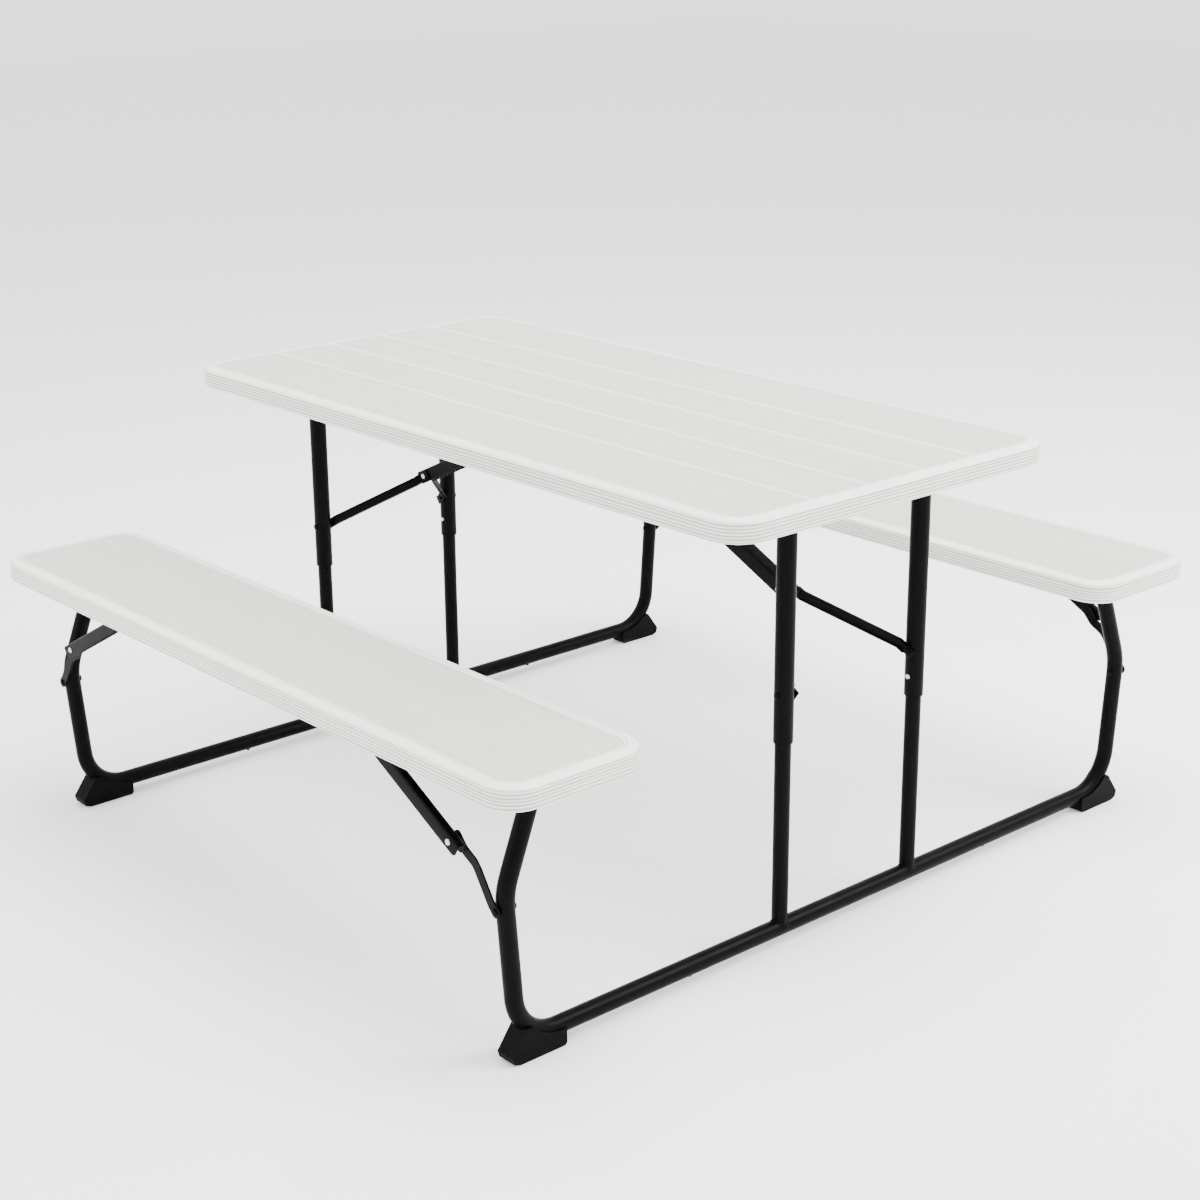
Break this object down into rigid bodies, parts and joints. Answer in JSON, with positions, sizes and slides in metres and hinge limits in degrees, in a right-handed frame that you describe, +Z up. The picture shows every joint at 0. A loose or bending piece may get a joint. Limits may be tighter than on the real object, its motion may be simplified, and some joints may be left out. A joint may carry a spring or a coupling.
{
  "type": "folding picnic table",
  "caption": "Folding picnic table with a rectangular top and two attached benches on bent tube frames, with folding braces and a lift-off top.",
  "frame": {"origin": "on the floor, at the centre of the footprint", "axes": "+Z up, X along the boards with the near end at +X, Y across them with the right bench at +Y"},
  "size_m": [1.372, 1.49, 0.724],
  "materials": {
    "board_plastic": "white blow-moulded polyethylene with a fine moulded wood grain",
    "frame_steel": "satin black powder coat",
    "foot_plastic": "black moulded polypropylene",
    "bright_steel": "zinc plated"
  },
  "bodies": {
    "benches": {"left_bench": "board_plastic", "right_bench": "board_plastic", "near_left_bench_bracket": "frame_steel", "near_left_leg_pin": "frame_steel", "near_right_bench_bracket": "frame_steel", "near_right_leg_pin": "frame_steel", "far_left_bench_bracket": "frame_steel", "far_left_leg_pin": "frame_steel", "far_right_bench_bracket": "frame_steel", "far_right_leg_pin": "frame_steel"},
    "near_frame": {"near_base_rail": "frame_steel", "near_left_leg": "frame_steel", "near_left_foot": "foot_plastic", "near_left_link_bolt": "frame_steel", "near_right_leg": "frame_steel", "near_right_foot": "foot_plastic", "near_right_link_bolt": "frame_steel"},
    "near_left_link": {"near_left_bench_link": "frame_steel"},
    "near_left_channel": {"near_left_bench_channel": "frame_steel"},
    "near_right_link": {"near_right_bench_link": "frame_steel"},
    "near_right_channel": {"near_right_bench_channel": "frame_steel"},
    "far_frame": {"far_base_rail": "frame_steel", "far_left_leg": "frame_steel", "far_left_foot": "foot_plastic", "far_left_link_bolt": "frame_steel", "far_right_leg": "frame_steel", "far_right_foot": "foot_plastic", "far_right_link_bolt": "frame_steel"},
    "far_left_link": {"far_left_bench_link": "frame_steel"},
    "far_left_channel": {"far_left_bench_channel": "frame_steel"},
    "far_right_link": {"far_right_bench_link": "frame_steel"},
    "far_right_channel": {"far_right_bench_channel": "frame_steel"},
    "table": {"tabletop": "board_plastic", "centre_brace_bracket": "frame_steel", "left_side_rail": "frame_steel", "right_side_rail": "frame_steel"},
    "near_table_legs": {"near_table_leg": "frame_steel", "near_left_spigot": "frame_steel", "near_left_arm_bolt": "frame_steel", "near_right_spigot": "frame_steel", "near_right_arm_bolt": "frame_steel"},
    "near_brace_arms": {"near_left_brace_arm": "frame_steel", "near_right_brace_arm": "frame_steel"},
    "near_brace_channel": {"near_table_channel": "frame_steel"},
    "near_left_button": {"near_left_snap_button": "bright_steel"},
    "near_right_button": {"near_right_snap_button": "bright_steel"},
    "far_table_legs": {"far_table_leg": "frame_steel", "far_left_spigot": "frame_steel", "far_left_arm_bolt": "frame_steel", "far_right_spigot": "frame_steel", "far_right_arm_bolt": "frame_steel"},
    "far_brace_arms": {"far_left_brace_arm": "frame_steel", "far_right_brace_arm": "frame_steel"},
    "far_brace_channel": {"far_table_channel": "frame_steel"},
    "far_left_button": {"far_left_snap_button": "bright_steel"},
    "far_right_button": {"far_right_snap_button": "bright_steel"}
  },
  "joints": [
    {"name": "near_frame_fold", "type": "hinge", "parent": "benches", "child": "near_frame", "pos_m": [0.592, 0, 0.4005], "axis": [0, 1, 0], "range_deg": [0, 90]},
    {"name": "near_left_link_pivot", "type": "hinge", "parent": "near_frame", "child": "near_left_link", "pos_m": [0.592, -0.695, 0.235], "axis": [0, 1, 0], "range_deg": [0, 42.01]},
    {"name": "near_left_channel_pivot", "type": "hinge", "parent": "benches", "child": "near_left_channel", "pos_m": [0.364, -0.7072, 0.4005], "axis": [0, -1, 0], "range_deg": [0, 28.31]},
    {"name": "near_right_link_pivot", "type": "hinge", "parent": "near_frame", "child": "near_right_link", "pos_m": [0.592, 0.695, 0.235], "axis": [0, 1, 0], "range_deg": [0, 42.01]},
    {"name": "near_right_channel_pivot", "type": "hinge", "parent": "benches", "child": "near_right_channel", "pos_m": [0.364, 0.7072, 0.4005], "axis": [0, -1, 0], "range_deg": [0, 28.31]},
    {"name": "far_frame_fold", "type": "hinge", "parent": "benches", "child": "far_frame", "pos_m": [-0.592, 0, 0.4005], "axis": [0, -1, 0], "range_deg": [0, 90]},
    {"name": "far_left_link_pivot", "type": "hinge", "parent": "far_frame", "child": "far_left_link", "pos_m": [-0.592, -0.695, 0.235], "axis": [0, -1, 0], "range_deg": [0, 42.01]},
    {"name": "far_left_channel_pivot", "type": "hinge", "parent": "benches", "child": "far_left_channel", "pos_m": [-0.364, -0.7072, 0.4005], "axis": [0, 1, 0], "range_deg": [0, 28.31]},
    {"name": "far_right_link_pivot", "type": "hinge", "parent": "far_frame", "child": "far_right_link", "pos_m": [-0.592, 0.695, 0.235], "axis": [0, -1, 0], "range_deg": [0, 42.01]},
    {"name": "far_right_channel_pivot", "type": "hinge", "parent": "benches", "child": "far_right_channel", "pos_m": [-0.364, 0.7072, 0.4005], "axis": [0, 1, 0], "range_deg": [0, 28.31]},
    {"name": "table_lift", "type": "slide", "parent": "benches", "child": "table", "axis": [0, 0, 1], "range_m": [0, 0.07]},
    {"name": "near_table_leg_fold", "type": "hinge", "parent": "table", "child": "near_table_legs", "pos_m": [0.592, 0, 0.679], "axis": [0, 1, 0], "range_deg": [0, 90]},
    {"name": "near_arm_pivot", "type": "hinge", "parent": "near_table_legs", "child": "near_brace_arms", "pos_m": [0.592, 0, 0.405], "axis": [0, 1, 0], "range_deg": [0, 55.1]},
    {"name": "near_brace_channel_pivot", "type": "hinge", "parent": "table", "child": "near_brace_channel", "pos_m": [0.075, 0, 0.679], "axis": [0, -1, 0], "range_deg": [0, 25.04]},
    {"name": "near_left_button_press", "type": "slide", "parent": "near_table_legs", "child": "near_left_button", "axis": [0, -1, 0], "range_m": [0, 0.0056], "stiffness_N_per_m": 600},
    {"name": "near_right_button_press", "type": "slide", "parent": "near_table_legs", "child": "near_right_button", "axis": [0, 1, 0], "range_m": [0, 0.0056], "stiffness_N_per_m": 600},
    {"name": "far_table_leg_fold", "type": "hinge", "parent": "table", "child": "far_table_legs", "pos_m": [-0.592, 0, 0.679], "axis": [0, -1, 0], "range_deg": [0, 90]},
    {"name": "far_arm_pivot", "type": "hinge", "parent": "far_table_legs", "child": "far_brace_arms", "pos_m": [-0.592, 0, 0.405], "axis": [0, -1, 0], "range_deg": [0, 55.1]},
    {"name": "far_brace_channel_pivot", "type": "hinge", "parent": "table", "child": "far_brace_channel", "pos_m": [-0.075, 0, 0.679], "axis": [0, 1, 0], "range_deg": [0, 25.04]},
    {"name": "far_left_button_press", "type": "slide", "parent": "far_table_legs", "child": "far_left_button", "axis": [0, -1, 0], "range_m": [0, 0.0056], "stiffness_N_per_m": 600},
    {"name": "far_right_button_press", "type": "slide", "parent": "far_table_legs", "child": "far_right_button", "axis": [0, 1, 0], "range_m": [0, 0.0056], "stiffness_N_per_m": 600}
  ],
  "couplings": [
    {"joint": "near_left_link_pivot", "follows": "near_frame_fold", "ratio": 0.46682},
    {"joint": "near_left_channel_pivot", "follows": "near_frame_fold", "ratio": 0.31454},
    {"joint": "near_right_link_pivot", "follows": "near_frame_fold", "ratio": 0.46682},
    {"joint": "near_right_channel_pivot", "follows": "near_frame_fold", "ratio": 0.31454},
    {"joint": "far_left_link_pivot", "follows": "far_frame_fold", "ratio": 0.46682},
    {"joint": "far_left_channel_pivot", "follows": "far_frame_fold", "ratio": 0.31454},
    {"joint": "far_right_link_pivot", "follows": "far_frame_fold", "ratio": 0.46682},
    {"joint": "far_right_channel_pivot", "follows": "far_frame_fold", "ratio": 0.31454},
    {"joint": "near_arm_pivot", "follows": "near_table_leg_fold", "ratio": 0.61221},
    {"joint": "near_brace_channel_pivot", "follows": "near_table_leg_fold", "ratio": 0.27819},
    {"joint": "far_arm_pivot", "follows": "far_table_leg_fold", "ratio": 0.61221},
    {"joint": "far_brace_channel_pivot", "follows": "far_table_leg_fold", "ratio": 0.27819}
  ]
}
